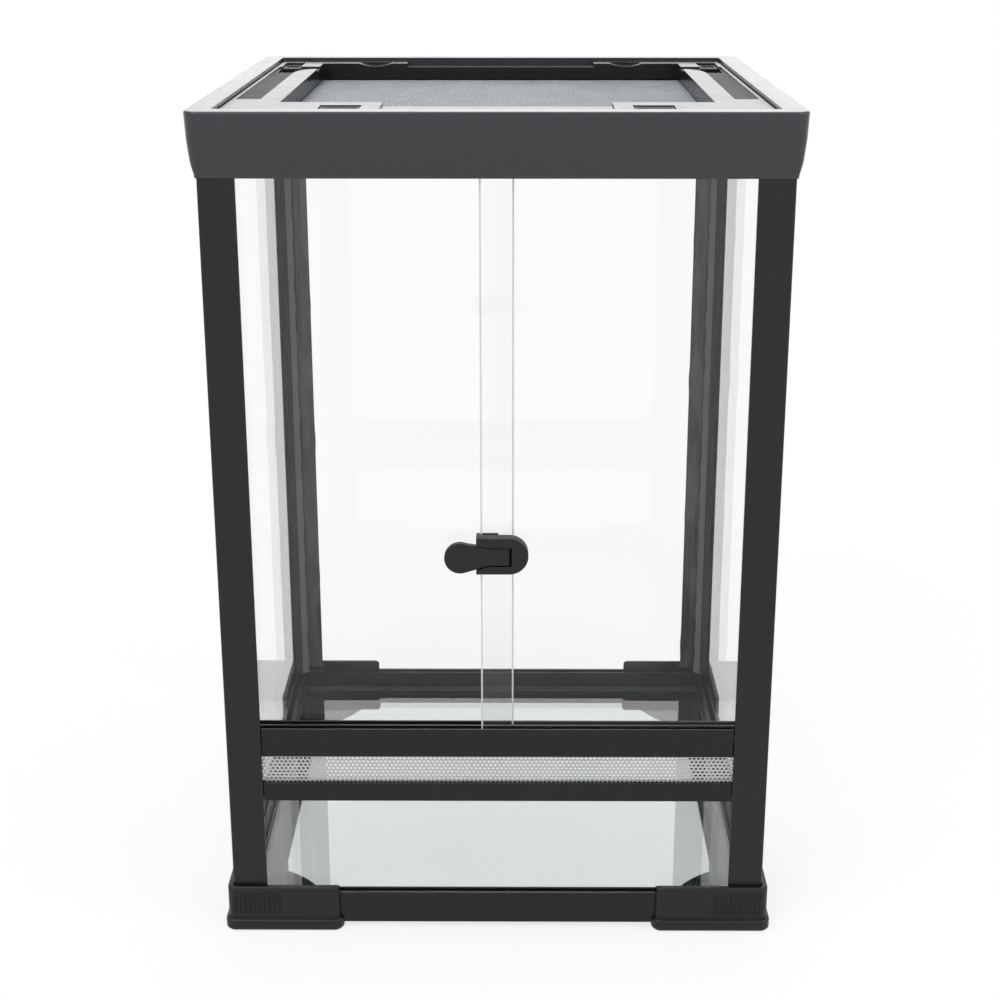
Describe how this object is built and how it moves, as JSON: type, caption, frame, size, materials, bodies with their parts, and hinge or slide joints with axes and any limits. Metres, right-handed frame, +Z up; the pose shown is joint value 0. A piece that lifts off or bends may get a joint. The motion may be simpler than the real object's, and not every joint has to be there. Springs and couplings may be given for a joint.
{
  "type": "terrarium cabinet",
  "caption": "Upright framed glass terrarium with two sliding doors, a front vent strip, corner feet and a hinged, screened lid.",
  "frame": {"origin": "centre of the footprint on the surface that the feet stand on", "axes": "+Z up; the front with the sliding doors faces -Y; +X is to the right, seen from the front"},
  "size_m": [0.3152, 0.3152, 0.47],
  "materials": {
    "rim_plastic": "moulded, glossy on the flat top",
    "frame_plastic": "extruded, satin",
    "foot_plastic": "moulded, satin, fluted at the corners",
    "lid_plastic": "moulded, glossy",
    "lock_plastic": "moulded, fine grain",
    "pane_glass": "clear float glass with ground edges",
    "perforated_aluminium": "mill finish sheet with punched holes",
    "screen_wire": "woven fine wire",
    "pin_steel": "plain drawn pin",
    "silicone": "smooth bead, slightly translucent"
  },
  "bodies": {
    "cabinet": {"top_frame": "rim_plastic", "post_front_left": "frame_plastic", "post_front_right": "frame_plastic", "post_rear_left": "frame_plastic", "post_rear_right": "frame_plastic", "base_rail_front": "frame_plastic", "base_rail_rear": "frame_plastic", "base_rail_left": "frame_plastic", "base_rail_right": "frame_plastic", "foot_front_left": "foot_plastic", "foot_front_right": "foot_plastic", "foot_rear_left": "foot_plastic", "foot_rear_right": "foot_plastic", "vent_rail": "frame_plastic", "door_sill": "frame_plastic", "upper_track": "frame_plastic", "side_glass_left": "pane_glass", "side_glass_right": "pane_glass", "rear_glass": "pane_glass", "floor_glass": "pane_glass", "front_glass_lower": "pane_glass", "vent_strip": "perforated_aluminium", "seal_rear_left": "silicone", "seal_rear_right": "silicone", "seal_front_left": "silicone", "seal_front_right": "silicone"},
    "left_door": {"door_left": "pane_glass"},
    "right_door": {"door_right": "pane_glass", "lock_body": "lock_plastic", "lock_pin": "pin_steel"},
    "lever": {"lock_lever": "lock_plastic"},
    "lid": {"lid_frame": "lid_plastic", "lid_screen": "screen_wire", "screen_clamp": "lid_plastic"},
    "latch_left": {"lid_latch_left": "lock_plastic"},
    "latch_right": {"lid_latch_right": "lock_plastic"},
    "shutter_left": {"port_shutter_left": "lock_plastic"},
    "shutter_right": {"port_shutter_right": "lock_plastic"}
  },
  "joints": [
    {"name": "door_left_slide", "type": "slide", "parent": "cabinet", "child": "left_door", "axis": [1, 0, 0], "range_m": [0, 0.135]},
    {"name": "door_right_slide", "type": "slide", "parent": "cabinet", "child": "right_door", "axis": [1, 0, 0], "range_m": [-0.104, 0]},
    {"name": "lock_lever_turn", "type": "hinge", "parent": "right_door", "child": "lever", "pos_m": [0.0055, -0.1545, 0.2324], "axis": [0, 0, 1], "range_deg": [0, 70]},
    {"name": "lid_hinge", "type": "hinge", "parent": "cabinet", "child": "lid", "pos_m": [0, 0.1442, 0.4679], "axis": [-1, 0, 0], "range_deg": [0, 88]},
    {"name": "latch_left_slide", "type": "slide", "parent": "lid", "child": "latch_left", "axis": [0, -1, 0], "range_m": [0, 0.006]},
    {"name": "latch_right_slide", "type": "slide", "parent": "lid", "child": "latch_right", "axis": [0, -1, 0], "range_m": [0, 0.006]},
    {"name": "shutter_left_slide", "type": "slide", "parent": "lid", "child": "shutter_left", "axis": [0, -1, 0], "range_m": [0, 0.024]},
    {"name": "shutter_right_slide", "type": "slide", "parent": "lid", "child": "shutter_right", "axis": [0, -1, 0], "range_m": [0, 0.024]}
  ]
}
